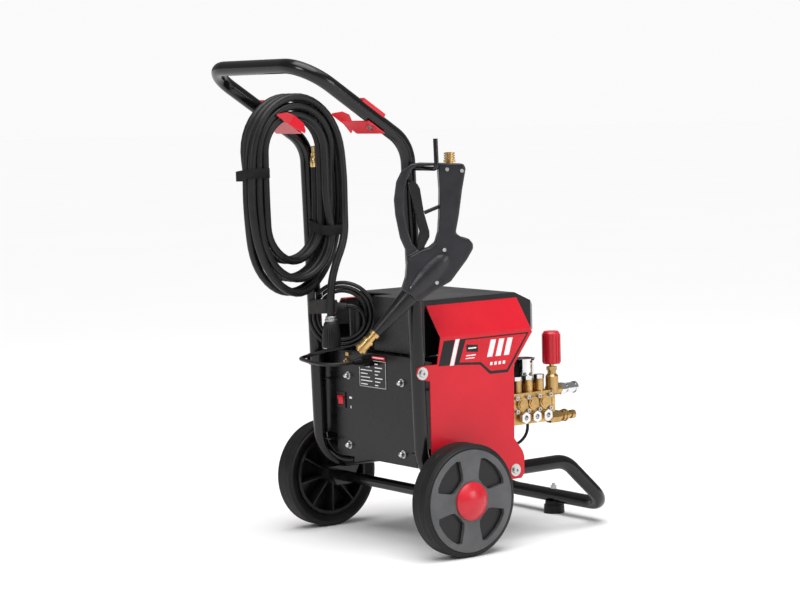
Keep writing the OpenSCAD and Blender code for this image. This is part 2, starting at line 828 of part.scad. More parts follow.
// hubcap with a cross of four wide spokes and four windows
module hubcap() {
    on_axle()
    difference() {
        cylinder_z(wheel_out - 8, wheel_out + 1, disc_r - 0.5);
        for (a = [0:90:270]) rotate([0, 0, a + 45]) translate([0, 0, wheel_out - 9])
            linear_extrude(12)
                polygon([[48, -18], [56, -26], [84, -44], [92, -36], [97, -18], [98.5, 0],
                         [97, 18], [92, 36], [84, 44], [56, 26], [48, 18], [46, 0]]);
        cylinder_z(wheel_out - 10, wheel_out + 2, 18);
    }
}
module cap() {
    dome = 60;
    on_axle()
    difference() {
        intersection() {
            cylinder_z(wheel_out + 1, cap_out, cap_r);
            translate([0, 0, cap_out - dome]) sphere(r = dome);
        }
        cylinder_z(wheel_out, cap_out - 6, 16);
    }
}
module left_tyre() { color(rubber) mirror([1, 0, 0]) tyre(); }
module right_tyre() { color(rubber) tyre(); }
module left_rim() { color(black) mirror([1, 0, 0]) rim(); }
module right_rim() { color(black) rim(); }
module left_hubcap() { color(grey) mirror([1, 0, 0]) hubcap(); }
module right_hubcap() { color(grey) hubcap(); }
module left_cap() { color(red) mirror([1, 0, 0]) cap(); }
module right_cap() { color(red) cap(); }

// ---- hose hooks and gun hook ----
// frame of the sloping arms: Y down the arm to its lower bend, Z square to the arm
module on_arm() {
    translate([0, top_c[0], top_c[1]]) rotate([-arm_a, 0, 0]) children();
}
module hose_hook() {
    n = hook_n;
    on_arm() {
        difference() {
            union() {
                translate([hook_x - 1, shelf_t0, n - sheet])
                    cube([tube_x + 15 - hook_x, hook_t1 - shelf_t0 - 1, sheet]);
                // the flange stands up from the shelf, and its front end flares inwards
                intersection() {
                    translate([0, 0, n - sheet - 1]) linear_extrude(60)
                        polygon([[hook_x, hook_t0], [hook_x, hook_t1 - 40], [hook_x - 17, hook_t1 - 4],
                                 [hook_x - 19.3, hook_t1 - 5], [hook_x - sheet, hook_t1 - 40.5],
                                 [hook_x - sheet, hook_t0]]);
                    across_x(hook_x - 60, hook_x + 20)
                        polygon([[hook_t0 - 5, n - sheet - 0.5], [hook_t0 + 20, n + 18],
                                 [hook_t1 - 40, n + 22], [hook_t1 - 16, n + 16], [hook_t1 - 6, n + 4],
                                 [hook_t1 - 2, n - sheet - 0.5]]);
                }
            }
            translate([tube_x, hook_bolt, n - 5]) cylinder(h = 8, r = bolt_r + run);
        }
        // strap over the top of the tube
        difference() {
            translate([tube_x - 12, -156, 0]) cube([24, 66, tube_r + 3.5]);
            translate([tube_x, -160, 0]) rotate([-90, 0, 0]) cylinder(h = 80, r = tube_r);
            translate([tube_x - 20, -160, -1]) cube([40, 80, 11]);
        }
    }
}
module hose_hooks() {
    color(red) both_sides() hose_hook();
}

module gun_hook() {
    bend_r = 10;
    color(black)
    bent_tube([[tube_x, rod_c[1], rod_c[2]], [rod_tip, rod_c[1], rod_c[2]],
               [rod_tip - 2, rod_c[1], rod_c[2] + 64]], [bend_r], rod_r);
}

// ---- spray gun, hung by its guard ----
module in_gun() {
    translate(gun_o) rotate([0, 0, -gun_turn]) children();
}
module gun_outline() {
    difference() {
        polygon([[-12, 8], [-31, 5], [-50, -9], [-62, -32], [-68, -71], [-66, -103], [-57, -153],
                 [-46, -179], [-44, -205], [-48, -239], [-57, -264], [-23, -291], [18, -265],
                 [49, -249], [67, -226], [85, -203], [99, -180], [99, -169], [90, -158],
                 [73, -153], [62, -145], [70, -107], [78, -54], [87, -8], [83, 3], [30, 6]]);
        guard_opening();
    }
}
module guard_opening() {
    polygon([[-20, 0], [22, 0], [28, -10], [30, -52], [28, -106], [25, -142], [18, -164],
             [5, -174], [-17, -180], [-31, -164], [-41, -132], [-47, -93], [-46, -61],
             [-39, -30], [-30, -8]]);
}
// grip and body, without the thin guard
module gun_thick() {
    intersection() {
        gun_outline();
        polygon([[30, 20], [110, 20], [120, -300], [-70, -300], [-60, -232], [-40, -192],
                 [-10, -178], [30, -160]]);
    }
}
module gun_half() {
    difference() {
        union() {
            across_x(0, 9) gun_outline();
            across_x(0, 19) gun_thick();
        }
        // pocket for the trigger's foot
        across_x(-1, 8) polygon([[-26, -170], [-30, -200], [-4, -200], [22, -165], [0, -160]]);
        gun_bores();
    }
}
module gun_bores() {
    bar_x(-30, 30, pivot_c[0], pivot_c[1], 3 + run);
    translate([0, push_c[0], push_c[1]]) rotate([push_a, 0, 0])
        bar_y(10, 74, 0, 0, push_r + run);
    translate([0, 54, -22]) cylinder(h = 40, r = 7 + run);
    lance_frame() {
        cylinder_z(-22, 2, 8 + run);
        cylinder_z(0, 40, 22);
    }
    for (c = screw_cs) bar_x(8, 30, c[0], c[1], 2 + run);
}
screw_cs = [[-36, -259], [36, -180], [46, -8], [78, -12], [18, -250]];
module lance_frame() {
    translate([0, lance_o[0], lance_o[1]]) rotate([90 + lance_a, 0, 0]) children();
}
module gun_shell_outer() {
    color(graphite) in_gun() gun_half();
}
module gun_shell_inner() {
    color(graphite) in_gun() mirror([1, 0, 0]) gun_half();
}

module gun_screws() {
    color(steel) in_gun()
    for (c = screw_cs) {
        bar_x(10, 17, c[0], c[1], 2);
        bar_x(17, 19, c[0], c[1], 2);
        bar_x(19, 20, c[0], c[1], 4);
    }
}

// trigger with its pin, which turns in both halves
module gun_trigger() {
    color(black) in_gun() {
        across_x(-7.5, 7.5)
            polygon([[-36, -34], [-27, -30], [-17, -38], [-12, -48], [-5, -98], [6, -140], [6, -152],
                     [-5, -172], [-8, -190], [-18, -192], [-22, -184], [-18, -160], [-14, -140],
                     [-26, -83], [-34, -46]]);
        bar_x(-12, 12, pivot_c[0], pivot_c[1], 3);
    }
}

module gun_push_rod() {
    color(black) in_gun()
    translate([0, push_c[0], push_c[1]]) rotate([push_a, 0, 0])
        bar_y(0, 56, 0, 0, push_r);
}

module gun_inlet() {
    color(brass) in_gun() translate([0, 54, 0])
    difference() {
        union() {
            cylinder_z(-20, 7, 7);
            translate([0, 0, 6.2]) cylinder(h = 6, r = 14, $fn = 6);
            cylinder_z(12, 28, 9);
            for (z = [14, 19, 24]) cylinder_z(z, z + 3, 12);
        }
        cylinder_z(-10, 32, 4);
    }
}

module gun_lance() {
    color(black) in_gun() lance_frame()
    difference() {
        union() {
            cylinder_z(-20, 0, 8);
            cylinder_z(0, 4, 20);
            translate([0, 0, 4]) cylinder(h = lance_len - 4, r1 = 20, r2 = 11);
        }
        cylinder_z(lance_len - 18, lance_len + 1, 6 + run);
    }
}

module gun_coupler() {
    color(brass) in_gun() lance_frame()
    difference() {
        union() {
            cylinder_z(lance_len - 16, lance_len, 6);
            cylinder_z(lance_len, lance_len + 8, 12);
            cylinder_z(lance_len + 8, lance_len + 54, 9);
        }
        cylinder_z(lance_len + 2, lance_len + 60, 5.5);
    }
}

// spring-back sleeve of the quick coupler
module gun_collar() {
    z0 = lance_len + 20;
    color(brass) in_gun() lance_frame()
    difference() {
        union() {
            cylinder_z(z0, z0 + 30, 12);
            cylinder_z(z0 + 2, z0 + 7, 14);
            cylinder_z(z0 + 23, z0 + 30, 14.5);
        }
        cylinder_z(z0 - 1, z0 + 40, 9 + run);
    }
}

// ---- high-pressure hose ----
module stadium(y, z0, z1, r) {
    translate([y, z0]) circle(r = r);
    translate([y, z1]) circle(r = r);
    translate([y - r, z0]) square([2 * r, z1 - z0]);
}
module hose_coil() {
    color(rubber)
    across_x(coil_x0, coil_x0 + coil_w)
        difference() {
            stadium(coil_y, coil_z0, coil_z1, coil_r);
            stadium(bore_y, bore_z0, bore_z1, bore_r);
        }
}

tail_points = [[-119, -99, 742], [-110, -106, 702], [-104, -119, 668], [-102, -137, 632],
               [-102, -150, 592], [-102, -155, 550], [tail_x, tail_y, boot_z1]];
module hose_tail() {
    color(rubber) swept(smooth(tail_points, 2), hose_d / 2, 12);
}

module hose_straps() {
    color(black)
    for (s = [[coil_y - coil_r, bore_y - bore_r, 826], [bore_y + bore_r - 8, coil_y + coil_r, 702]])
        difference() {
            translate([coil_x0 - 1.5, s[0] - 1.5, s[2]]) cube([coil_w + 3, s[1] - s[0] + 3, 22]);
            translate([coil_x0, s[0], s[2] - 1]) cube([coil_w, s[1] - s[0], 24]);
        }
}

module hose_boot() {
    color(rubber) translate([tail_x, tail_y, 0]) {
        cylinder_z(boot_z1 - 4, boot_z1, 15);
        translate([0, 0, boot_z0]) cylinder(h = boot_z1 - boot_z0 - 4, r1 = 22, r2 = 20);
    }
}

// ---- mains lead ----
module lead_coil() {
    color(rubber)
    translate([ring_c[0], ring_c[1], ring_z]) rotate([90, 0, ring_a])
        rotate_extrude() translate([ring_r, 0]) circle(r = ring_w / 2, $fn = 32);
}

run_points = [[gland_x, -160, gland_z - 6], [gland_x, -178, 412], [-24, -200, 411], [-46, -216, 411],
              [-76, -220, 412], [-104, -212, 413], [-130, -196, 414], [-152, -176, 416],
              [-160, -154, 420], [-154, -138, 426], [-143, -128, 430]];
module lead_run() {
    color(rubber) swept(smooth(run_points, 2), cord_d / 2, 8);
}

plug_z = 531;
plug_c = [-128, -146];
module lead_plug() {
    color(rubber) translate([plug_c[0], plug_c[1], plug_z]) rotate([0, 0, ring_a]) {
        translate([-42, -11, -16]) cube([64, 22, 32]);
        translate([22, 0, 0]) rotate([0, 90, 0]) cylinder(h = 22, r1 = 9, r2 = 6);
        for (x = [-28, -12]) translate([x, -3.2, 16]) cube([1.6, 6.4, 17]);
    }
}

handle_frame();
base_frame();
axle();
foot_rubber();
foot_bolt();
side_panel_left();
side_panel_right();
frame_bolts();
labels();
top_cover();
control_panel();
panel_studs();
rocker_bezel();
rocker();
cable_gland();
earth_studs();
motor_housing();
motor_end_bells();
motor_rotor();
fan_cover();
capacitors();
pump_crankcase();
pump_manifold();
plunger_caps();
valve_caps();
head_bolts();
unloader_body();
unloader_knob();
outlet_fitting();
inlet_fitting();
inlet_collar();
gauge_case();
gauge_needle();
sensor_lead();
left_tyre();
left_rim();
left_hubcap();
left_cap();
right_tyre();
right_rim();
right_hubcap();
right_cap();
hose_hooks();
gun_hook();
gun_shell_outer();
gun_shell_inner();
gun_screws();
gun_trigger();
gun_push_rod();
gun_inlet();
gun_lance();
gun_coupler();
gun_collar();
hose_coil();
hose_tail();
hose_straps();
hose_boot();
lead_coil();
lead_run();
lead_plug();
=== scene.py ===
import bpy, math, random
from mathutils import Matrix, Vector


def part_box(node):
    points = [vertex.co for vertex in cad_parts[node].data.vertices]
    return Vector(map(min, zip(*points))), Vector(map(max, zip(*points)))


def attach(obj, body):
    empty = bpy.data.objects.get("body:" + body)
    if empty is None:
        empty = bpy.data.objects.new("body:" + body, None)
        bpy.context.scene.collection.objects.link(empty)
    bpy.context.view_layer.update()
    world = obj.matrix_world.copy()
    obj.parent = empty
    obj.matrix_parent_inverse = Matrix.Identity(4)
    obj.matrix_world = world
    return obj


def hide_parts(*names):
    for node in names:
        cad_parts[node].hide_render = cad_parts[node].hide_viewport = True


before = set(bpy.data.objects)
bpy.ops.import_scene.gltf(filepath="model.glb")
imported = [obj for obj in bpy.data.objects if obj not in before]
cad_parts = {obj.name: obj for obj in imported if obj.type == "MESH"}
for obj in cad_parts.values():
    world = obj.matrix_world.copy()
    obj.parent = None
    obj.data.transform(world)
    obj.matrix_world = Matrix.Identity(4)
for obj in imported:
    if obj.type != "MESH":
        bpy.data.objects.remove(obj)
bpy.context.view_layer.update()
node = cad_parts

# ---- Camera ----
# A long lens at the height of the handle, a little to the pump side of the wheel.
turn, dip, tilt = math.radians(53.284), math.radians(5.169), math.radians(-1.496)
ahead = Vector((-math.sin(turn) * math.cos(dip), math.cos(turn) * math.cos(dip), -math.sin(dip)))
level = Vector((math.cos(turn), math.sin(turn), 0))
upward = level.cross(ahead)
right = level * math.cos(tilt) + upward * math.sin(tilt)
top = upward * math.cos(tilt) - level * math.sin(tilt)
lens = bpy.data.cameras.new("camera")
lens.lens, lens.sensor_width, lens.clip_end = 104.23, 36, 60
camera = bpy.data.objects.new("camera", lens)
bpy.context.scene.collection.objects.link(camera)
camera.matrix_world = Matrix.Translation((4.18825, -3.15879, 1.01779)) @ Matrix(
    (right, top, -ahead)).transposed().to_4x4()
bpy.context.scene.camera = camera


# ---- Studio floor and lights ----
# A pale seamless floor under a soft ceiling light, with three broad lamps: one overhead, one on
# the pump side and one behind.
class Shade:
    """A shader socket that takes part in sums."""

    def __init__(self, tree, out=None):
        self.tree, self.out = tree, out

    def node(self, kind, settings={}, inputs={}, out=0):
        made = self.tree.nodes.new("ShaderNode" + kind)
        for name, value in settings.items():
            setattr(made, name, value)
        for name, value in inputs.items():
            if isinstance(value, Shade):
                self.tree.links.new(value.out, made.inputs[name])
            else:
                made.inputs[name].default_value = value
        return Shade(self.tree, made.outputs[out]) if len(made.outputs) else None

    def maths(self, operation, first, second=0.0):
        return self.node("Math", {"operation": operation}, {0: first, 1: second})

    def __add__(self, other): return self.maths("ADD", self, other)
    __radd__ = __add__
    def __mul__(self, other): return self.maths("MULTIPLY", self, other)
    __rmul__ = __mul__
    def __lt__(self, other): return self.maths("LESS_THAN", self, other)

    def mix(self, one, two):
        """one where this mask is 0, two where it is 1"""
        pick = {"data_type": "RGBA"}
        one, two = [c if isinstance(c, Shade) else (*c, 1) for c in (one, two)]
        return self.node("Mix", pick, {0: self, 6: one, 7: two}, 2)


def new_material(name):
    made = bpy.data.materials.new(name)
    made.use_nodes = True
    made.node_tree.nodes.clear()
    return made, Shade(made.node_tree)


def surface(tree, colour, rough, metal=0.0, bump=None, depth=0.0002, gloss=0.5):
    inputs = {"Base Color": colour if isinstance(colour, Shade) else (*colour, 1),
              "Roughness": rough, "Metallic": metal, "Specular IOR Level": gloss}
    if bump is not None:
        inputs["Normal"] = tree.node("Bump", {}, {"Height": bump, "Distance": depth,
                                                  "Strength": 1.0})
    body = tree.node("BsdfPrincipled", {}, inputs)
    tree.node("OutputMaterial", {}, {"Surface": body})


def noise(tree, scale, detail=3.0, rough=0.5):
    """cloudy noise on the object's own coordinates"""
    place = tree.node("TexCoord", {}, {}, 3)
    return tree.node("TexNoise", {}, {"Vector": place, "Scale": scale, "Detail": detail,
                                      "Roughness": rough})


def wear(tree, low, high, scale, detail=4.0):
    """0 to 1, in soft patches"""
    return tree.node("MapRange", {"clamp": True}, {"Value": noise(tree, scale, detail, 0.6),
                                                   "From Min": low, "From Max": high})


bpy.ops.mesh.primitive_plane_add(size=300, location=(0, 0, 0))
floor = bpy.context.object
floor.name = "floor"
paper, tree = new_material("floor_paper")
surface(tree, wear(tree, 0.3, 0.7, 0.8).mix((0.87, 0.87, 0.87), (0.88, 0.88, 0.88)), 0.9, gloss=0.0)
floor.data.materials.append(paper)

sky = bpy.data.worlds.new("studio")
bpy.context.scene.world = sky
sky.use_nodes = True
tree = Shade(sky.node_tree)
seen = tree.node("LightPath")
sky.node_tree.links.new((0.26 + 0.70 * seen).out, sky.node_tree.nodes["Background"].inputs[1])
sky.node_tree.nodes["Background"].inputs[0].default_value = (1, 1, 1, 1)
bpy.context.scene.view_settings.view_transform = "Standard"
for name, place, size, power in (("lamp_over", (0.3, 0.2, 3.0), 2.2, 26),
                                 ("lamp_pump", (3.4, 1.2, 1.5), 1.3, 34),
                                 ("lamp_rear", (0.9, -3.4, 2.0), 1.0, 24)):
    light = bpy.data.lights.new(name, "AREA")
    light.size, light.energy = size, power
    lamp = bpy.data.objects.new(name, light)
    bpy.context.scene.collection.objects.link(lamp)
    lamp.location = place
    lamp.rotation_euler = (Vector((0, 0, 0.45)) - Vector(place)).to_track_quat("-Z", "Y").to_euler()
light = bpy.data.lights.new("ceiling", "SUN")
light.energy, light.angle = 2.75, math.radians(60)
lamp = bpy.data.objects.new("ceiling", light)
bpy.context.scene.collection.objects.link(lamp)
lamp.rotation_euler = (math.radians(12), math.radians(14), 0)


# ---- High-pressure hose ----
# Seven turns of 18 mm black rubber hose hung on the left hook, three abreast and three deep.
# It starts in the swivel boot below the coil, and ends in a crimped brass fitting among the turns.
def route_curve(name, points, width, sides=5):
    line = bpy.data.curves.new(name, "CURVE")
    line.dimensions, line.bevel_depth = "3D", width / 2
    line.bevel_resolution, line.use_fill_caps = sides, True
    run = line.splines.new("POLY")
    run.points.add(len(points) - 1)
    for place, p in zip(run.points, points):
        place.co = (*p, 1)
    run.use_smooth = True
    piece = bpy.data.objects.new(name, line)
    bpy.context.scene.collection.objects.link(piece)
    return piece


def smooth_route(points, step):
    """points on a smooth line through the given ones, about step apart"""
    ends = [points[0] * 2 - points[1], *points, points[-1] * 2 - points[-2]]
    made = []
    for a, b, c, d in zip(ends, ends[1:], ends[2:], ends[3:]):
        count = max(1, round((c - b).length / step))
        for i in range(count):
            t = i / count
            made.append(0.5 * (2 * b + (c - a) * t + (2 * a - 5 * b + 4 * c - d) * t * t
                               + (3 * b - a - 3 * c + d) * t ** 3))
    return made + [points[-1]]


def route_length(points):
    return sum((b - a).length for a, b in zip(points, points[1:]))


# each layer of turns: rear y, front y, lowest z and highest z in millimetres, and how oval it is
hose_layers = [(-347, -97, 568, 1009, 0.85), (-328.4, -121, 601, 989, 0.5),
               (-309.6, -147, 641, 969, 0.14)]
# the place of each turn, across the machine and by layer
hose_places = [(-121, 0), (-142, 0), (-163, 0), (-163, 1), (-142, 1), (-121, 1),
               (-121, 2), (-142, 2), (-163, 2)]
tail = [(-102, -156, 505), (-102, -155, 550), (-102, -150, 592), (-102, -137, 632),
        (-104, -119, 668), (-110, -106, 702), (-118, -99.5, 742)]


def layer_point(layer, share):
    """a point of a layer's loop, by share of a turn from the front limb's middle, upwards"""
    outer, inner = hose_layers[int(layer)], hose_layers[min(int(layer) + 1, 2)]
    y0, y1, z0, z1, slack = (outer[i] * (1 - layer % 1) + inner[i] * (layer % 1) for i in range(5))
    r, mid, half = (y1 - y0) / 2, (y0 + y1) / 2, (z1 - z0) / 2
    straight = z1 - z0 - 2 * r
    at = (share % 1) * (2 * math.pi * r + 2 * straight)
    if at < straight / 2:
        y, z = r, at
    elif at < straight / 2 + math.pi * r:
        at -= straight / 2
        y, z = r * math.cos(at / r), half - r + r * math.sin(at / r)
    elif at < straight * 1.5 + math.pi * r:
        y, z = -r, half - r - (at - straight / 2 - math.pi * r)
    elif at < straight * 1.5 + 2 * math.pi * r:
        at -= straight * 1.5 + math.pi * r
        y, z = -r * math.cos(at / r), r - half - r * math.sin(at / r)
    else:
        y, z = r, r - half + at - straight * 1.5 - 2 * math.pi * r
    # the limbs bow and the ends draw in, more below than above
    height = abs(z) / half
    oval, round_end = math.sqrt(max(0, 1 - height * height)), 1.0
    if abs(z) > half - r:
        round_end = math.sqrt(max(0, 1 - ((abs(z) - half + r) / r) ** 2))
    thin = oval / round_end if round_end > 0.02 else math.sqrt(r / half)
    return mid + y * (1 - slack * (1 if z < 0 else 0.5) * (1 - thin)), (z0 + z1) / 2 + z


hose_points = [Vector(p) for p in tail]
per_turn, chance = 64, random.Random(7)
sway = [(chance.uniform(0, 6.28), chance.uniform(0.5, 1.2)) for _ in hose_places]
turn_span, turns = 0.83, 7.04
for step in range(round(turns * per_turn) + 1):
    share = step / per_turn
    count = min(int(share / turn_span), len(hose_places) - 1)
    within = share / turn_span - count
    ease = min(1, max(0, (within - 0.80) / 0.20))
    ease = 2 * ease * ease if ease < 0.5 else 1 - 2 * (1 - ease) ** 2
    here = hose_places[count]
    there = hose_places[min(count + 1, len(hose_places) - 1)]
    x = here[0] + (there[0] - here[0]) * ease
    layer = here[1] + (there[1] - here[1]) * ease
    y, z = layer_point(min(layer, 1.999), share + 0.02)
    _, reach = sway[count]
    x += reach * math.sin(2 * math.pi * share * 2 + 1.1) * 0.8
    hose_points.append(Vector((x, y, z)))
head = smooth_route([p / 1000 for p in hose_points[:len(tail) + 2]], 0.012)
hose_line = head + [p / 1000 for p in hose_points[len(tail) + 2:]]
hose_d = 0.018
hose = route_curve("hose", hose_line, hose_d)

black_hose, tree = new_material("hose_rubber")
fine, patch = noise(tree, 900, 2.0), wear(tree, 0.35, 0.7, 14)
surface(tree, patch.mix((0.005, 0.005, 0.0055), (0.012, 0.012, 0.013)), 0.36 + 0.16 * patch,
        bump=fine * 0.4 + noise(tree, 130, 3.0), depth=0.00025, gloss=0.32)
hose.data.materials.append(black_hose)
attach(hose, "trolley")
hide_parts("hose_coil", "hose_tail")


# ---- Mains lead ----
# Five turns of 8.5 mm round lead stand on edge on the control panel's top fold.
# The lead comes out of the gland, lies round in a bow, and its plug hangs inside the turns.
def worn(name, one, two, rough, spread, patches, grain, depth, metal=0.0, gloss=0.5):
    """a finish between two colours, rougher where the second shows, with a fine grain"""
    made, tree = new_material(name)
    patch = wear(tree, *patches)
    surface(tree, patch.mix(one, two), rough + spread * patch, metal,
            bump=noise(tree, *grain), depth=depth, gloss=gloss)
    return made


lead_d = 8.5
bow = [(-16, -160, 413), (-16, -178, 412), (-24, -200, 411), (-46, -216, 411), (-76, -220, 412),
       (-106, -218, 413), (-134, -213, 414), (-153, -207, 414.5), (-166, -194, 415),
       (-171, -176, 417), (-167, -157, 421), (-155.5, -140.5, 426), (-143.5, -125, 430)]
ring_mid, along, out_of = Vector((-125, -108, 509)), Vector((0.6, 0.8, 0)), Vector((0.8, -0.6, 0))


def ring_place(reach, rise, off):
    return ring_mid + along * reach + Vector((0, 0, rise)) + out_of * off


# the place of each turn: outwards from the ring's 70 mm, and off its plane
lead_places = [(4.4, -4.6), (4.4, 4.6), (-4.8, 4.6), (-4.8, -4.6), (-14, -4.6), (-14, 4.6)]
lead_span, lead_start = 311.5, -84.0
lead_points = [Vector(p) for p in bow]
lead_steps = round(len(lead_places) * (lead_span - 4) / 7)
for step in range(lead_steps + 1):
    angle = step * (len(lead_places) * lead_span - 25) / lead_steps
    count = min(int(angle / lead_span), 5)
    ease = min(1, max(0, (angle / lead_span - count - 0.845) / 0.155))
    ease = 2 * ease * ease if ease < 0.5 else 1 - 2 * (1 - ease) ** 2
    here, there = lead_places[count], lead_places[min(count + 1, 5)]
    r = 70 + here[0] + (there[0] - here[0]) * ease
    off = here[1] + (there[1] - here[1]) * ease
    a = math.radians(lead_start + angle)
    lead_points.append(ring_place(r * math.cos(a), r * math.sin(a), off))
for step in range(1, 14):
    a, share = math.radians(-40 + 130 * step / 13), step / 13
    share = 2 * share * share if share < 0.5 else 1 - 2 * (1 - share) ** 2
    lead_points.append(ring_place(15.3 + 36 * math.cos(a), -12.9 + 36 * math.sin(a),
                                  4.6 + 15.8 * share))
lead_points.append(ring_place(12.2, 23.1, 20.4))
lead_line = smooth_route([p / 1000 for p in lead_points], 0.005)
lead = route_curve("mains_lead", lead_line, lead_d / 1000, 4)
black_lead = worn("lead_sheath", (0.005, 0.005, 0.0055), (0.012, 0.012, 0.013), 0.34, 0.12,
                  (0.35, 0.7, 30), (260, 2.0), 0.0002, gloss=0.35)
lead.data.materials.append(black_lead)
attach(lead, "trolley")
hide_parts("lead_coil", "lead_run")


# ---- Boot, straps and end fitting of the hose ----
# A ribbed rubber boot over the swivel with a pale crimped ring, two woven hook-and-loop straps
# round the limbs of the coil, and a crimped brass fitting on the far end.
def begin(name, verts, edges=(), faces=()):
    """a new mesh piece, the only one selected"""
    bpy.ops.object.select_all(action="DESELECT")
    form = bpy.data.meshes.new(name)
    form.from_pydata(verts, list(edges), list(faces))
    piece = bpy.data.objects.new(name, form)
    bpy.context.scene.collection.objects.link(piece)
    bpy.context.view_layer.objects.active = piece
    piece.select_set(True)
    return piece


def settle(piece, matrix=Matrix.Identity(4), angle=30):
    """puts a finished piece in its place, with the place in its mesh, and shades it"""
    bpy.ops.object.select_all(action="DESELECT")
    bpy.context.view_layer.objects.active = piece
    piece.select_set(True)
    piece.data.transform(matrix @ piece.matrix_world)
    piece.matrix_world = Matrix.Identity(4)
    bpy.ops.object.shade_smooth_by_angle(angle=math.radians(angle))
    return piece


def turned(name, outline, steps=96):
    """a closed outline of (distance from the axis, place along it) turned once round the X axis"""
    count = len(outline)
    piece = begin(name, [(x, 0, r) for r, x in outline],
                  [(i, (i + 1) % count) for i in range(count)])
    bpy.ops.object.mode_set(mode="EDIT")
    bpy.ops.mesh.select_all(action="SELECT")
    bpy.ops.mesh.spin(steps=steps, angle=2 * math.pi, center=(0, 0, 0), axis=(1, 0, 0))
    bpy.ops.mesh.select_all(action="SELECT")
    bpy.ops.mesh.remove_doubles(threshold=0.00001)
    bpy.ops.mesh.normals_make_consistent(inside=False)
    bpy.ops.object.mode_set(mode="OBJECT")
    return piece


def finish_piece(piece, material, body, slot, *replaced):
    piece.data.materials.append(material)
    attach(piece, body)
    if replaced:
        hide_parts(*replaced)
    return piece


stand_up = Matrix.Rotation(math.radians(-90), 4, "Y")
boot_foot = Matrix.Translation((-0.102, -0.156, 0.440)) @ stand_up
boot_steps, flute_every = 96, 4
boot = turned("hose_boot_rubber", [
    (0.0, 0.0), (0.0195, 0.0), (0.0208, 0.0015), (0.0212, 0.006), (0.0208, 0.03), (0.0192, 0.046),
    (0.0165, 0.056), (0.0125, 0.0605), (0.0, 0.0605)], boot_steps)
for v in boot.data.vertices:
    a, r = math.atan2(v.co.y, v.co.z), math.hypot(v.co.y, v.co.z)
    flute = round(a / (2 * math.pi) * boot_steps) % flute_every == 0
    if flute and 0.004 < v.co.x < 0.054 and r > 0.015:
        v.co.y, v.co.z = v.co.y * 0.925, v.co.z * 0.925
finish_piece(settle(boot, boot_foot, 40), black_hose, "trolley", "rubber", "hose_boot")

pale = worn("crimp_zinc", (0.34, 0.34, 0.34), (0.46, 0.46, 0.45), 0.35, 0.2,
            (0.35, 0.7, 90), (900, 2.0), 0.00005, metal=1.0)
ring = turned("hose_ferrule", [
    (0.0096, 0.0), (0.0140, 0.0), (0.0146, 0.001), (0.0146, 0.0045), (0.0128, 0.0055),
    (0.0122, 0.011), (0.0112, 0.012), (0.0096, 0.012)], 64)
finish_piece(settle(ring, Matrix.Translation((-0.102, -0.156, 0.4995)) @ stand_up), pale, "trolley",
             "zinc_steel")

webbing, tree = new_material("strap_webbing")
spot = tree.node("TexCoord", {}, {}, 3)
weave = tree.node("TexVoronoi", {}, {"Vector": spot, "Scale": 850.0})
patch = wear(tree, 0.35, 0.7, 60)
surface(tree, patch.mix((0.006, 0.006, 0.006), (0.014, 0.014, 0.014)), 0.75 + 0.1 * patch,
        bump=weave, depth=0.0005, gloss=0.2)


def strap(name, x0, x1, y0, y1, low, tilt):
    """a band round a limb, 22 mm high, with its loose end lapped over the outside"""
    corner, ring = 0.014, []
    for cx, cy, start in ((x1, y1, 0), (x0, y1, 90), (x0, y0, 180), (x1, y0, 270)):
        for k in range(7):
            a = math.radians(start + k * 15)
            ring.append((cx + corner * (math.cos(a) + (-1 if cx == x1 else 1)),
                         cy + corner * (math.sin(a) + (-1 if cy == y1 else 1))))
    verts, count = [], len(ring)
    mid_x = (x0 + x1) / 2
    for level in range(4):
        verts += [(x, y, low + 0.022 * level / 3 + (x - mid_x) * tilt) for x, y in ring]
    faces = [(k * count + i, k * count + (i + 1) % count, (k + 1) * count + (i + 1) % count,
              (k + 1) * count + i) for k in range(3) for i in range(count)]
    band = begin(name, verts, (), faces)
    tab = [i for i in range(count) if ring[i][0] > x1 - 0.0002]
    for k in range(4):
        for i in tab:
            band.data.vertices[k * count + i].co.x += 0.0008
    wall = band.modifiers.new("wall", "SOLIDIFY")
    wall.thickness, wall.offset = 0.0018, 1
    bpy.ops.object.modifier_apply(modifier="wall")
    edge = band.modifiers.new("edge", "BEVEL")
    edge.width, edge.segments, edge.angle_limit = 0.0005, 2, math.radians(50)
    bpy.ops.object.modifier_apply(modifier="edge")
    return settle(band, angle=40)


straps = [strap("strap_rear", -0.1740, -0.1110, -0.3575, -0.2995, 0.828, 0.12),
          strap("strap_front", -0.1740, -0.1108, -0.1640, -0.0905, 0.702, -0.22)]
finish_piece(straps[0], webbing, "trolley", "black_plastic", "hose_straps")
finish_piece(straps[1], webbing, "trolley", "black_plastic")

bright_brass = worn("fitting_brass", (0.78, 0.56, 0.26), (0.60, 0.42, 0.18), 0.18, 0.16,
                    (0.35, 0.75, 70), (700, 2.0), 0.00005, metal=1.0)
end_way = (hose_line[-1] - hose_line[-4]).normalized()
fitting = turned("hose_end_fitting", [
    (0.0, -0.012), (0.0096, -0.012), (0.0102, -0.010), (0.0102, 0.008), (0.0092, 0.010),
    (0.0080, 0.012), (0.0080, 0.020), (0.0066, 0.021), (0.0066, 0.034), (0.0052, 0.036),
    (0.0, 0.036)], 48)
aim = Vector((1, 0, 0)).rotation_difference(end_way).to_matrix().to_4x4()
finish_piece(settle(fitting, Matrix.Translation(hose_line[-1]) @ aim), bright_brass,
             "trolley", "brass")
route_length(hose_line)


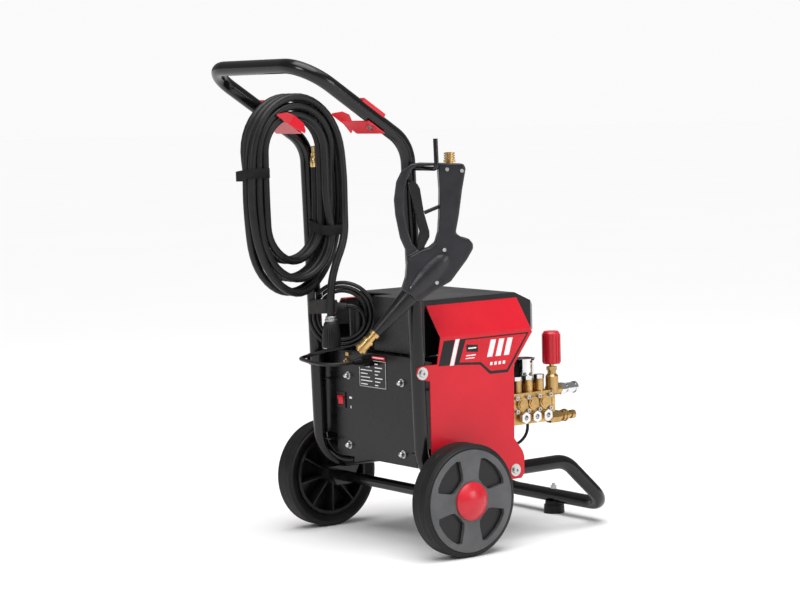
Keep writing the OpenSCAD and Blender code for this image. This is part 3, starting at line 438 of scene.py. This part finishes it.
# ---- Mains plug ----
# A moulded grey-brown plug with a ribbed grip and two flat prongs, inside the turns of the lead.
plug_place = (Matrix.Translation((-0.128, -0.146, 0.5321))
              @ Matrix.Rotation(math.atan2(0.8, 0.6), 4, "Z"))
moulded = worn("plug_moulding", (0.020, 0.018, 0.016), (0.034, 0.031, 0.027), 0.42, 0.12,
               (0.35, 0.7, 60), (600, 2.0), 0.0001, gloss=0.35)
bpy.ops.object.select_all(action="DESELECT")
bpy.ops.mesh.primitive_cube_add(size=1, location=(-0.010, 0, 0), scale=(0.064, 0.022, 0.032))
plug = bpy.context.object
plug.name = "plug_body"
bpy.ops.object.transform_apply(location=True, rotation=False, scale=True)
bpy.ops.object.mode_set(mode="EDIT")
bpy.ops.mesh.select_all(action="SELECT")
bpy.ops.mesh.subdivide(number_cuts=7)
bpy.ops.object.mode_set(mode="OBJECT")
for v in plug.data.vertices:
    taper = 1 - 0.16 * max(0, (v.co.x + 0.002) / 0.024)
    groove = 0.93 if abs(v.co.y) > 0.0109 and round((v.co.x + 0.042) / 0.008) % 2 == 1 else 1.0
    v.co.y, v.co.z = v.co.y * taper * groove, v.co.z * taper
edge = plug.modifiers.new("edge", "BEVEL")
edge.width, edge.segments, edge.angle_limit = 0.0035, 3, math.radians(60)
bpy.ops.object.modifier_apply(modifier="edge")
finish_piece(settle(plug, plug_place, 50), moulded, "trolley", "rubber", "lead_plug")
relief = turned("plug_relief", [
    (0.0, 0.0205), (0.0092, 0.0205), (0.0092, 0.024), (0.0078, 0.0245), (0.0078, 0.0265),
    (0.0084, 0.027), (0.0084, 0.030), (0.0070, 0.0305), (0.0070, 0.0325), (0.0076, 0.033),
    (0.0076, 0.036), (0.0062, 0.0365), (0.0062, 0.0385), (0.0066, 0.039), (0.0064, 0.043),
    (0.0048, 0.0435), (0.0, 0.0435)], 48)
finish_piece(settle(relief, plug_place), moulded, "trolley", "rubber")
prongs = begin("plug_prongs", [])
for x in (-0.0272, -0.0112):
    bpy.ops.mesh.primitive_cube_add(size=1, location=(x, 0, 0.0245),
                                    scale=(0.0016, 0.0064, 0.0175))
    blade = bpy.context.object
    bpy.ops.object.transform_apply(location=True, rotation=False, scale=True)
    edge = blade.modifiers.new("edge", "BEVEL")
    edge.width, edge.segments = 0.0005, 2
    bpy.ops.object.modifier_apply(modifier="edge")
    blade.select_set(True)
    prongs.select_set(True)
    bpy.context.view_layer.objects.active = prongs
    bpy.ops.object.join()
finish_piece(settle(prongs, plug_place), pale, "trolley", "zinc_steel")
route_length(lead_line)


# ---- Painted tube frame ----
# Two bent 32 mm steel tubes welded behind the side panels, in gloss black powder coat.
def dress(names, material):
    for name in names:
        node[name].data.materials.clear()
        node[name].data.materials.append(material)


gloss_black, tree = new_material("frame_paint")
peel, patch = noise(tree, 420, 2.0), wear(tree, 0.4, 0.75, 9)
surface(tree, patch.mix((0.003, 0.003, 0.0034), (0.006, 0.006, 0.0065)), 0.13 + 0.10 * patch,
        bump=peel, depth=0.0001, gloss=0.4)
dress(["handle_frame", "base_frame", "axle", "gun_hook"], gloss_black)

# ---- Hose hooks ----
# Folded 2.5 mm sheet steel in red gloss powder coat, strapped over the arms of the handle and bolted.
red_gloss, tree = new_material("red_paint")
peel, patch = noise(tree, 300, 2.0), wear(tree, 0.4, 0.75, 7)
surface(tree, patch.mix((0.56, 0.010, 0.022), (0.64, 0.014, 0.028)), 0.30 + 0.10 * patch,
        bump=peel, depth=0.0001, gloss=0.3)
dress(["hose_hooks"], red_gloss)


# ---- Inner and outer faces of the side panels ----
# The folded panels are painted red outside; their inner faces are coloured near black, as painted shade.
panel_red_and_painted_shade, tree = new_material("panel_paint_and_painted_shade")
peel, patch = noise(tree, 300, 2.0), wear(tree, 0.4, 0.75, 7)
spot = tree.node("SeparateXYZ", {}, {0: tree.node("TexCoord", {}, {}, 3)})
face = tree.node("SeparateXYZ", {}, {0: tree.node("TexCoord", {}, {}, 1)})
# marks the faces turned in towards the middle of the machine, which take the painted shade
inner = (spot * face) < -0.02
paint = patch.mix((0.56, 0.010, 0.022), (0.64, 0.014, 0.028))
# the near-black colour on the inner faces is painted shade, not a paint of the panel
surface(tree, inner.mix(paint, (0.006, 0.006, 0.006)), 0.30 + 0.10 * patch,
        bump=peel, depth=0.0001, gloss=0.3)
dress(["side_panel_left", "side_panel_right"], panel_red_and_painted_shade)


# ---- Control panel and fan cover ----
# Folded sheet steel in satin black powder coat. The panel stands on the motor plate and is held by
# four domed nuts; the fan cover is pressed and screwed on the motor's rear end.
satin_black = worn("satin_sheet", (0.004, 0.004, 0.004), (0.008, 0.008, 0.008), 0.22, 0.12,
                   (0.4, 0.7, 11), (500, 2.0), 0.00008, gloss=0.28)
dress(["control_panel", "fan_cover", "cable_gland", "rocker_bezel"], satin_black)


# ---- Top cover and capacitors ----
# An open-bottomed cover moulded in smooth black plastic, resting on the side panels' flanges, and
# the motor's two capacitors in plain black cans behind the control panel.
cover_plastic = worn("cover_plastic", (0.004, 0.004, 0.0042), (0.008, 0.008, 0.0085), 0.22, 0.12,
                     (0.4, 0.7, 8), (700, 2.0), 0.00008, gloss=0.35)
dress(["top_cover", "capacitors"], cover_plastic)


# ---- Motor and crankcase ----
# Cast aluminium housing with cooling ribs, its end bells and the pump's crankcase, all under a
# rough dark grey paint. The motor is bolted to the plate, and the pump to the motor.
cast = worn("motor_casting", (0.035, 0.035, 0.037), (0.06, 0.06, 0.062), 0.45, 0.2,
            (0.35, 0.7, 22), (300, 4.0), 0.0004, metal=0.2)
dress(["motor_housing", "motor_end_bells", "pump_crankcase"], cast)


# ---- Bolts, nuts and rotor ----
# Bright zinc-plated steel fasteners, turned and rolled, and the ground steel of the rotor.
steel = worn("zinc_steel", (0.50, 0.50, 0.50), (0.66, 0.66, 0.64), 0.24, 0.2,
             (0.35, 0.7, 60), (900, 2.0), 0.00006, metal=1.0)
dress(["foot_bolt", "frame_bolts", "panel_studs", "head_bolts", "gun_screws", "motor_rotor"], steel)


# ---- Valve caps, outlet and gauge case ----
# Turned pieces with a polished chrome or nickel plating, screwed into the pump head.
chrome = worn("chrome", (0.70, 0.70, 0.71), (0.80, 0.80, 0.80), 0.08, 0.12,
              (0.4, 0.7, 50), (600, 2.0), 0.00003, metal=1.0)
dress(["valve_caps", "outlet_fitting", "gauge_case"], chrome)


# ---- Pump head and couplings ----
# Forged and machined brass, slightly darkened, for the pump's manifold, the unloader, the inlet
# and the gun's couplings. The head is held on the crankcase by the long bolts.
brass = worn("brass", (0.62, 0.40, 0.16), (0.42, 0.27, 0.11), 0.22, 0.22,
             (0.35, 0.75, 45), (500, 3.0), 0.0001, metal=1.0)
dress(["earth_studs", "pump_manifold", "plunger_caps", "unloader_body", "inlet_fitting",
       "inlet_collar", "gun_inlet", "gun_coupler", "gun_collar"], brass)


# ---- Knob, rocker and wheel caps ----
# Glossy red injection-moulded plastic. The caps snap into the hubs, and the knob is held on the
# unloader's stem.
red_plastic = worn("red_plastic", (0.50, 0.008, 0.020), (0.60, 0.012, 0.028), 0.28, 0.12,
                   (0.4, 0.7, 30), (800, 2.0), 0.00006)
dress(["rocker", "unloader_knob", "left_cap", "right_cap", "gauge_needle"], red_plastic)


# ---- Rubber foot and sensor lead ----
# Moulded black rubber for the front foot, which is bolted through the tube, and for the sheath of
# the short sensor lead. The plain solids of the cords take the same finish.
black_rubber = worn("black_rubber", (0.006, 0.006, 0.006), (0.013, 0.013, 0.013), 0.45, 0.15,
                    (0.35, 0.7, 25), (420, 3.0), 0.0002, gloss=0.3)
dress(["foot_rubber", "left_tyre", "right_tyre", "hose_boot", "lead_plug", "sensor_lead",
       "hose_straps", "hose_coil", "hose_tail", "lead_coil", "lead_run"], black_rubber)


# ---- Hubcaps ----
# Mid-grey injection-moulded plastic with a star of windows, clipped over the rims.
grey_plastic = worn("hub_plastic", (0.065, 0.067, 0.070), (0.095, 0.097, 0.10), 0.32, 0.12,
                    (0.35, 0.7, 18), (700, 2.0), 0.00008, gloss=0.4)
dress(["left_hubcap", "right_hubcap"], grey_plastic)


# ---- Rims, trigger and lance ----
# Satin black injection-moulded plastic: the spoked rims run on the axle, the trigger turns on a
# pin in the gun, and the lance sleeve is screwed into its nose.
black_plastic = worn("black_plastic", (0.005, 0.005, 0.0052), (0.010, 0.010, 0.011), 0.30, 0.12,
                     (0.35, 0.7, 18), (700, 2.0), 0.00008, gloss=0.35)
dress(["left_rim", "right_rim", "gun_trigger", "gun_push_rod", "gun_lance"], black_plastic)


# ---- Finish of the spray gun ----
# Dark grey glass-filled plastic with a fine grain, for the two halves of the gun.
graphite = worn("gun_plastic", (0.011, 0.011, 0.014), (0.020, 0.020, 0.025), 0.30, 0.12,
                (0.35, 0.7, 18), (700, 2.0), 0.00008, gloss=0.4)
dress(["gun_shell_outer", "gun_shell_inner"], graphite)

# ---- Side graphics and rating plate ----
# Screen-printed film on both side panels and a printed plate on the control panel: only plain
# shapes and bars, which stand where the real machine has its lettering.
film_black = worn("film_black", (0.003, 0.003, 0.003), (0.006, 0.006, 0.006), 0.16, 0.1,
                  (0.4, 0.7, 20), (800, 2.0), 0.00003, gloss=0.35)
film_white = worn("film_white", (0.80, 0.80, 0.80), (0.70, 0.70, 0.70), 0.22, 0.1,
                  (0.4, 0.7, 20), (800, 2.0), 0.00003)
film_red = worn("film_red", (0.60, 0.010, 0.022), (0.52, 0.008, 0.018), 0.24, 0.1,
                (0.4, 0.7, 20), (800, 2.0), 0.00003, gloss=0.3)


def film(name, shapes, thick, place, material, *replaced):
    """flat shapes of (along, up) in millimetres, as thin film"""
    verts, faces = [], []
    for shape in shapes:
        area = sum(a[0] * b[1] - b[0] * a[1] for a, b in zip(shape, shape[1:] + shape[:1]))
        shape = shape if area > 0 else shape[::-1]
        low, count = len(verts), len(shape)
        verts += [(0, y / 1000, z / 1000) for y, z in shape] + [(thick / 1000, y / 1000, z / 1000)
                                                                for y, z in shape]
        faces += [tuple(low + count + i for i in range(count)),
                  tuple(low + count - 1 - i for i in range(count))]
        faces += [(low + i, low + (i + 1) % count, low + count + (i + 1) % count, low + count + i)
                  for i in range(count)]
    piece = begin(name, verts, (), faces)
    soft = piece.modifiers.new("soft", "BEVEL")
    soft.width, soft.segments, soft.offset_type = 0.00006, 1, "OFFSET"
    bpy.ops.object.modifier_apply(modifier="soft")
    return finish_piece(settle(piece, place, 20), material, "trolley", "label_film", *replaced)


def leaning(y0, y1, z0, z1, lean):
    """a slanted bar"""
    return [(y0, z0), (y1, z0), (y1 + lean, z1), (y0 + lean, z1)]


border = [(-17, 470), (166, 470), (103, 385), (51, 386), (24, 409), (-38, 414)]
inside = [(-15.5, 467), (159, 467), (100, 391.5), (53.5, 392.5), (27, 414.5), (-34, 419)]
for side, x, flip in (("right", 0.2105, 1), ("left", -0.2105, -1)):
    place = Matrix.Translation((x, 0, 0)) @ Matrix.Diagonal((flip, 1, 1, 1))
    film(side + "_film_black", [[(-76, 470), (-45, 470), (-62, 415), (-92, 416)],
                                [(-30, 470), (-17, 470), (-38, 414), (-48, 414)], border],
         0.3, place, film_black, *(["labels"] if flip > 0 else []))
    film(side + "_film_red", [inside], 0.42, place, film_red)
    marks = [[(-14, 457), (19, 454), (19, 438), (-14, 441)]]
    film(side + "_film_mark", marks, 0.5, place, film_black)
    bars = [leaning(-61, -50, 414, 471, 18)]
    bars += [leaning(y, y + 15, 424, 462, 12) for y in (44, 68, 92)]
    bars += [leaning(y, y + 7, 405, 412, 1) for y in (52, 64, 76, 88)]
    bars += [leaning(-9, 14, 446.5, 449.5, 0.5), leaning(-15, 12, 431, 433.5, 0.5),
             leaning(-17, 8, 425, 427, 0.5)]
    film(side + "_film_white", bars, 0.55, place, film_white)

plate_place = Matrix.Translation((0, -0.1121, 0)) @ Matrix.Rotation(math.radians(-90), 4, "Z")
film("plate_black", [[(-60, 350), (46, 350), (46, 426), (-60, 426)]], 0.5, plate_place, film_black)
film("plate_header", [[(-28, 417), (42, 417), (42, 424.5), (-28, 424.5)]], 0.62,
     plate_place, film_red)
rows = [[(-57, 352.5), (43, 352.5), (43, 353.3), (-57, 353.3)],
        [(-57, 413), (43, 413), (43, 413.8), (-57, 413.8)],
        [(-57, 352.5), (-56.2, 352.5), (-56.2, 413.8), (-57, 413.8)],
        [(42.2, 352.5), (43, 352.5), (43, 413.8), (42.2, 413.8)]]
for k in range(7):
    z = 357 + 8 * k
    rows += [leaning(-52, -26 + 9 * ((k * 5) % 3), z, z + 2.2, 0),
             leaning(2, 14 + 8 * ((k * 7) % 3), z, z + 2.2, 0)]
rows += [leaning(-22, 36, 419.5, 422, 0)]
film("plate_rows", rows, 0.7, plate_place, film_white)
film("switch_marks", [[(-100, 319), (-90, 319), (-90, 323.5), (-100, 323.5)],
                      [(-96, 297), (-93, 297), (-93, 303), (-96, 303)]], 0.4, plate_place, film_white)


# ---- Tyres ----
# Solid black rubber, 250 mm across and 54 mm wide, with fine ribs moulded round the tread.
tyre_rubber = worn("tyre_rubber", (0.005, 0.005, 0.005), (0.013, 0.0125, 0.012), 0.48, 0.18,
                   (0.35, 0.7, 14), (380, 3.0), 0.0002, gloss=0.3)
tyre_outline = [(0.0893, 0.0), (0.0893, 0.0125), (0.092, 0.0135), (0.105, 0.0190), (0.1105, 0.0235),
                (0.1135, 0.0262), (0.1165, 0.0262), (0.1178, 0.0250), (0.1185, 0.0240)]
tread = [(0.1235, 0.0222)]
for k in range(6):
    x = 0.0214 - k * 0.0038
    tread += [(0.1246, x), (0.1247, x - 0.0024), (0.1236, x - 0.0029), (0.1236, x - 0.0035)]
half = tyre_outline + [(0.1205, 0.0232)] + tread
tyre_ring = half + [(r, -x) for r, x in reversed(half)][:-1]
axle_y, axle_z = -0.07, 0.125
for side in ("left", "right"):
    low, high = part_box(side + "_tyre")
    tyre = settle(turned(side + "_tyre_rubber", tyre_ring),
                  Matrix.Translation(((low.x + high.x) / 2, axle_y, axle_z)))
    finish_piece(tyre, tyre_rubber, side + "_wheel", "tyre", side + "_tyre")


# ---- Spray gun shells ----
# Two moulded halves of dark grey plastic with soft edges, screwed together along the middle.
gun_frame = Matrix.Translation((0.245, -0.143, 0.8553)) @ Matrix.Rotation(math.radians(-30), 4, "Z")
gun_edge = [(-12, 8), (-31, 5), (-50, -9), (-62, -32), (-68, -71), (-66, -103), (-57, -153), (-46, -179),
            (-44, -205), (-48, -239), (-57, -264), (-23, -291), (18, -265), (49, -249), (67, -226),
            (85, -203), (99, -180), (99, -169), (90, -158), (73, -153), (62, -145), (70, -107),
            (78, -54), (87, -8), (83, 3), (30, 6)]
guard_edge = [(-20, 0), (22, 0), (28, -10), (30, -52), (28, -106), (25, -142), (18, -164), (5, -174),
              (-17, -180), (-31, -164), (-41, -132), (-47, -93), (-46, -61), (-39, -30), (-30, -8)]
thick_edge = [(28, 6), (83, 3), (87, -8), (78, -54), (70, -107), (62, -145), (73, -153), (90, -158),
              (99, -169), (99, -180), (85, -203), (67, -226), (49, -249), (18, -265), (-23, -291),
              (-57, -264), (-48, -239), (-44, -205), (-40, -192), (-12, -178), (5, -174), (18, -164),
              (25, -142), (28, -106), (30, -52), (28, -10)]


def moulding(name, loops, half_wide, edge):
    """flat loops in the gun's own plane, filled, thickened both ways and rounded over"""
    verts, edges = [], []
    for loop in loops:
        first = len(verts)
        verts += [(-half_wide / 1000, y / 1000, z / 1000) for y, z in loop]
        edges += [(first + i, first + (i + 1) % len(loop)) for i in range(len(loop))]
    piece = begin(name, verts, edges)
    bpy.ops.object.mode_set(mode="EDIT")
    bpy.ops.mesh.select_all(action="SELECT")
    bpy.ops.mesh.fill(use_beauty=True)
    bpy.ops.mesh.extrude_region_move(TRANSFORM_OT_translate={"value": (half_wide / 500, 0, 0)})
    bpy.ops.mesh.select_all(action="SELECT")
    bpy.ops.mesh.normals_make_consistent(inside=False)
    bpy.ops.object.mode_set(mode="OBJECT")
    rounding = piece.modifiers.new("rounding", "BEVEL")
    rounding.width, rounding.segments, rounding.angle_limit = edge / 1000, 4, math.radians(50)
    bpy.ops.object.modifier_apply(modifier="rounding")
    return piece


guard = moulding("gun_shells", [gun_edge, guard_edge], 8.6, 3.4)
grip = moulding("gun_grip", [thick_edge], 18.6, 9)
body_line = Vector((0, -0.0400, -0.2735)), Vector((0, 0.0480, -0.1850))
bulge = turned("gun_bulge", [
    (0.0, -0.002), (0.0205, 0.0), (0.0235, 0.02), (0.0262, 0.05), (0.0268, 0.075),
    (0.0245, 0.10), (0.0180, 0.118), (0.0080, 0.126), (0.0, 0.1275)], 48)
along_body = (body_line[1] - body_line[0]).normalized()
settle(bulge, Matrix.Translation(body_line[0]) @ Vector((1, 0, 0)).rotation_difference(
    along_body).to_matrix().to_4x4())
bpy.ops.object.select_all(action="DESELECT")
grip.select_set(True)
bulge.select_set(True)
guard.select_set(True)
bpy.context.view_layer.objects.active = guard
bpy.ops.object.join()
skin = guard.modifiers.new("skin", "REMESH")
skin.mode, skin.voxel_size = "VOXEL", 0.0016
bpy.ops.object.modifier_apply(modifier="skin")
relax = guard.modifiers.new("relax", "SMOOTH")
relax.factor, relax.iterations = 0.5, 12
bpy.ops.object.modifier_apply(modifier="relax")
finish_piece(settle(guard, gun_frame, 60), graphite, "gun", "gun_plastic",
             "gun_shell_outer", "gun_shell_inner")
